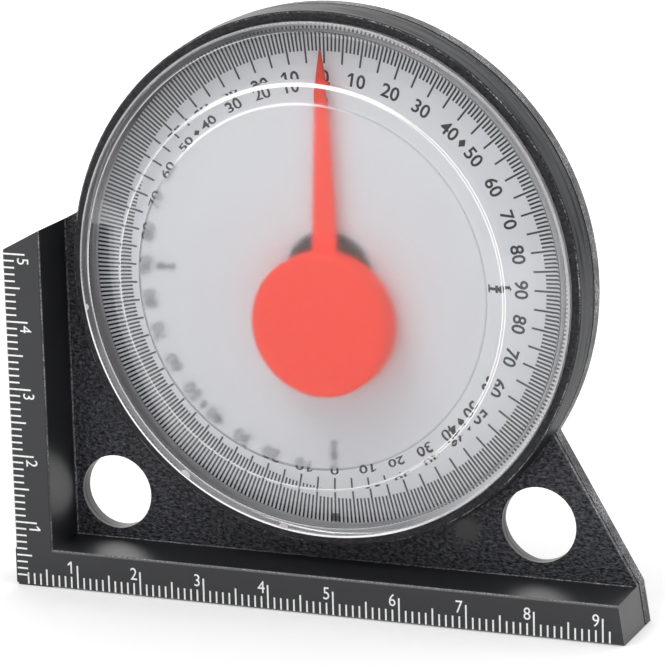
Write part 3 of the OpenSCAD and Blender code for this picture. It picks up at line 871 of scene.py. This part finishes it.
def edge_light(arcs, rim, wall, frost_line):
    """Painted highlights and shade on the lens's edges, for each point of its section and each spoke: 1 is a
    white line, 0 is clear and -1 is dark. The crest has one thin line, two towards the right and a wide one
    at the top."""
    thin = stripes(0.3, 0) * (1 - facing(0, 45)) * (1 - 0.35 * facing(220, 105))
    double = stripes(0.28, -0.6, 0.6) * facing(0, 45)
    wide = stripes(3.0, 0) * facing(92, 22)
    glints = {
        CREST: np.maximum.reduce([thin, double, wide]),
        RIM_INNER: stripes(0.8, 0) * np.maximum(0.7 * facing(210, 55), facing(145, 35)),
        RIM_OUTER: stripes(6.0, 0) * np.maximum(facing(240, 45), 0.22),
    }
    edge = np.zeros((len(arcs) + 1, LENS_SPOKES))
    for corner, glint in glints.items():
        start = np.flatnonzero(arcs == corner)[0]
        edge[start:start + len(glint)] = np.clip(glint, 0, 1)
    # Painted shade on the rim's flat and the turned wall, and on the frost line a painted highlight at the
    # top and painted shade elsewhere
    edge[rim[1:]] = -np.maximum(facing(150, 45), 0.75 * facing(240, 50))
    lit, left = facing(112, 20), facing(200, 75)
    edge[frost_line] = lit - (1 - lit) * (0.8 + 0.2 * left)
    edge[frost_line + 1] = lit - (1 - lit) * 0.6 * left
    edge[wall[0]:wall[-1] + 2] = -facing(115, 28)
    return edge


def cut_gates(lens):
    """Stubs on the rim where the moulding was cut from its gates: half discs, raised by their height."""
    stubs = []
    turn = np.linspace(0, math.pi, 13)[:, None]
    for degrees, radius in GATES:
        out = radial(degrees)[0]
        foot = np.array((AXIS[0], FRONT_Y + lens.rim_depth, AXIS[2])) + out * (LENS_R - lens.small_round)
        arc = foot + radius * MM * (np.cos(turn) * np.cross(out, TO_VIEWER) - np.sin(turn) * out)
        here = np.arange(len(arc))
        ahead = np.roll(here, -1)
        face = here + len(arc)
        sides = np.stack([face, ahead + len(arc), ahead, here], axis=1)
        stubs.append((np.concatenate([arc, arc + TO_VIEWER * lens.gate_t]),
                      [here.tolist(), face[::-1].tolist(), *sides.tolist()]))
    return gather(stubs)


class ANGLEFINDER_OT_lens(bpy.types.Operator):
    """Mould the clear lens with its raised, frosted middle"""

    bl_idname = "angle_finder.lens"
    bl_label = "Lens"

    def execute(self, context):
        lens = look("lens")
        profile, arcs = lens_section(lens)
        radius = profile[:, 0]
        rim = np.arange(np.flatnonzero(arcs == RIM_INNER)[-1] + 1, np.flatnonzero(arcs == RIM_OUTER)[0])
        upright = np.isclose(radius[:-1], radius[1:])
        wall = np.flatnonzero(upright & (radius[:-1] < LENS_R - lens.skirt_t / 2))
        frost_line = len(arcs) - 2
        finish = np.zeros(len(arcs), dtype=np.int32)
        finish[np.isin(arcs, (CREST, RIM_INNER, RIM_OUTER))] = EDGE
        finish[rim] = EDGE
        finish[frost_line] = EDGE
        finish[wall] = MATT
        finish[-1] = FROST
        materials = [
            new_material("clear_acrylic_moulded", clear_acrylic),
            new_material("frosted_acrylic_blasted", frosted_acrylic),
            new_material("clear_acrylic_painted_edge_light", edge_acrylic),
            new_material("acrylic_turned_wall", matt_acrylic),
        ]
        piece = make_piece("clear_lens", *lathe(profile), materials, "case", "clear_cover",
                           np.repeat(finish, LENS_SPOKES), smooth=True)
        # Painted highlights and shade of the edges, which the edge materials read
        edge = edge_light(arcs, rim, wall, frost_line)
        poles = (0, 0)
        values = np.concatenate([edge[1:-1].ravel(), poles])
        piece.data.attributes.new("edge", "FLOAT", "POINT").data.foreach_set("value", values)
        piece.visible_shadow = False
        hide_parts("lens")

        gate_face = new_material("acrylic_cut_gate", printed_ink, lens.gate)
        make_piece("lens_gate_marks", *cut_gates(lens), [gate_face], "case", "clear_cover")
        return {"FINISHED"}


class ANGLEFINDER_OT_pointer(bpy.types.Operator):
    """Finish the pointer in moulded orange plastic"""

    bl_idname = "angle_finder.pointer"
    bl_label = "Pointer"

    def execute(self, context):
        finish_nodes(("pointer",), new_material("orange_polystyrene_moulded", pointer_plastic))
        return {"FINISHED"}


class ANGLEFINDER_OT_bearing(bpy.types.Operator):
    """Finish the axle, its collar and weight in steel, and the bushes and washers in brass"""

    bl_idname = "angle_finder.bearing"
    bl_label = "Bearing"

    def execute(self, context):
        steel = new_material("turned_steel", turned_metal, linear("#b4b7bb"), 0.3, 0.1 * MM)
        brass = new_material("turned_brass", turned_metal, linear("#c9a254"), 0.28, 0.1 * MM)
        finish_nodes(("axle", "axle_collar", "bob_weight"), steel)
        finish_nodes(("front_bush", "rear_bush", "front_washer", "rear_washer"), brass)
        return {"FINISHED"}


class ANGLEFINDER_OT_magnets(bpy.types.Operator):
    """Finish the magnets in ferrite and their keepers in steel strip"""

    bl_idname = "angle_finder.magnets"
    bl_label = "Magnets"

    def execute(self, context):
        ferrite = new_material("sintered_ferrite_ground", sintered_ferrite)
        strip = new_material("rolled_steel_strip", turned_metal, linear("#a9acb0"), 0.35, 0.6 * MM)
        finish_nodes(("magnet_left", "magnet_right"), ferrite)
        finish_nodes(("keeper_left", "keeper_right"), strip)
        return {"FINISHED"}


class ANGLEFINDER_OT_screws(bpy.types.Operator):
    """Finish the cover screws in plated steel"""

    bl_idname = "angle_finder.screws"
    bl_label = "Screws"

    def execute(self, context):
        plated = new_material("zinc_plated_steel", turned_metal, linear("#c3c6c9"), 0.25, 0.2 * MM)
        finish_nodes([f"cover_screw_{i}" for i in range(1, 5)], plated)
        return {"FINISHED"}


# Each soft box: its place, the point that it looks at and its size, in metres, and its power in watts
LAMPS = {
    "key_soft_box": ((-0.35, -0.4, 1.0), (0.0, 0.0, 0.04), (0.5, 0.5), 3.2),
    "top_soft_box": ((0.1, 0.15, 1.0), (0.0, 0.0, 0.04), (0.8, 0.5), 2.0),
    "lit_back_wall": ((0.0, 1.3, 0.6), (0.0, 0.0, 0.1), (2.6, 1.1), 10.0),
}


class ANGLEFINDER_OT_stage(bpy.types.Operator):
    """Set the white floor, the white room, the soft boxes and the camera"""

    bl_idname = "angle_finder.stage"
    bl_label = "Stage"

    def execute(self, context):
        studio = look("studio")
        half, low = studio.floor_half, -studio.floor_gap
        corners = [(-half, -half, low), (half, -half, low), (half, half, low), (-half, half, low)]
        mesh = bpy.data.meshes.new("studio_floor")
        mesh.from_pydata(corners, [], [(0, 1, 2, 3)])
        mesh.materials.append(new_material("white_studio_paper", studio_paper))
        floor = bpy.data.objects.new("studio_floor", mesh)
        context.scene.collection.objects.link(floor)

        # The room is plain white behind the part, and less bright as a light
        world = bpy.data.worlds.new("white_room")
        add = blank(world)
        seen = add("LightPath", out="Is Camera Ray")
        strength = add("MapRange", {"Value": seen, "To Min": studio.air, "To Max": 1.0})
        air = add("Background", (WHITE, strength))
        add("OutputWorld", (air,))
        context.scene.world = world

        for name, (place, target, size, watts) in LAMPS.items():
            light = bpy.data.lights.new(name, "AREA")
            light.shape = "RECTANGLE"
            light.size, light.size_y = size
            light.energy = watts
            lamp = bpy.data.objects.new(name, light)
            lamp.location = place
            lamp.rotation_euler = (Vector(target) - Vector(place)).to_track_quat("-Z", "Y").to_euler()
            context.scene.collection.objects.link(lamp)

        data = bpy.data.cameras.new("photo_camera")
        data.sensor_fit = "HORIZONTAL"
        data.lens = studio.focal * data.sensor_width / IMAGE_SIZE[0]
        data.shift_x = (IMAGE_SIZE[0] / 2 - studio.centre[0]) / IMAGE_SIZE[0]
        data.shift_y = (studio.centre[1] - IMAGE_SIZE[1] / 2) / IMAGE_SIZE[0]
        data.clip_start, data.clip_end = 0.01, 100
        camera = bpy.data.objects.new("photo_camera", data)
        heading = Matrix.Rotation(studio.azimuth, 3, "Z")
        pitch = Matrix.Rotation(math.pi / 2 - studio.elevation, 3, "X")
        roll = Matrix.Rotation(studio.roll, 3, "Z")
        camera.matrix_world = Matrix.Translation(studio.place) @ (heading @ pitch @ roll).to_4x4()
        context.scene.collection.objects.link(camera)
        context.scene.camera = camera
        context.scene.view_settings.view_transform = "Standard"
        return {"FINISHED"}


OPERATORS = (
    ANGLEFINDER_OT_stage,
    ANGLEFINDER_OT_case,
    ANGLEFINDER_OT_rulers,
    ANGLEFINDER_OT_dial,
    ANGLEFINDER_OT_lens,
    ANGLEFINDER_OT_pointer,
    ANGLEFINDER_OT_bearing,
    ANGLEFINDER_OT_magnets,
    ANGLEFINDER_OT_screws,
)


class ANGLEFINDER_PT_sidebar(bpy.types.Panel):
    """Lists the steps that dress the angle finder, and their sizes and colours"""

    bl_label = "Angle Finder"
    bl_idname = "ANGLEFINDER_PT_sidebar"
    bl_space_type = "VIEW_3D"
    bl_region_type = "UI"
    bl_category = "Angle Finder"

    def draw(self, context):
        for operator in OPERATORS:
            self.layout.operator(operator.bl_idname)
        for name, group in LOOKS.items():
            box = self.layout.box()
            box.label(text=name.capitalize())
            for key in group.__annotations__:
                box.prop(look(name), key)


def register():
    for cls in (*LOOKS.values(), *OPERATORS, ANGLEFINDER_PT_sidebar):
        bpy.utils.register_class(cls)
    for name, group in LOOKS.items():
        setattr(bpy.types.Scene, "angle_finder_" + name, PointerProperty(type=group))


def unregister():
    for name in LOOKS:
        delattr(bpy.types.Scene, "angle_finder_" + name)
    for cls in reversed((*LOOKS.values(), *OPERATORS, ANGLEFINDER_PT_sidebar)):
        bpy.utils.unregister_class(cls)


def main():
    register()
    bpy.ops.angle_finder.stage()
    bpy.ops.angle_finder.case()
    bpy.ops.angle_finder.rulers()
    bpy.ops.angle_finder.dial()
    bpy.ops.angle_finder.lens()
    bpy.ops.angle_finder.pointer()
    bpy.ops.angle_finder.bearing()
    bpy.ops.angle_finder.magnets()
    bpy.ops.angle_finder.screws()


if __name__ == "__main__":
    main()
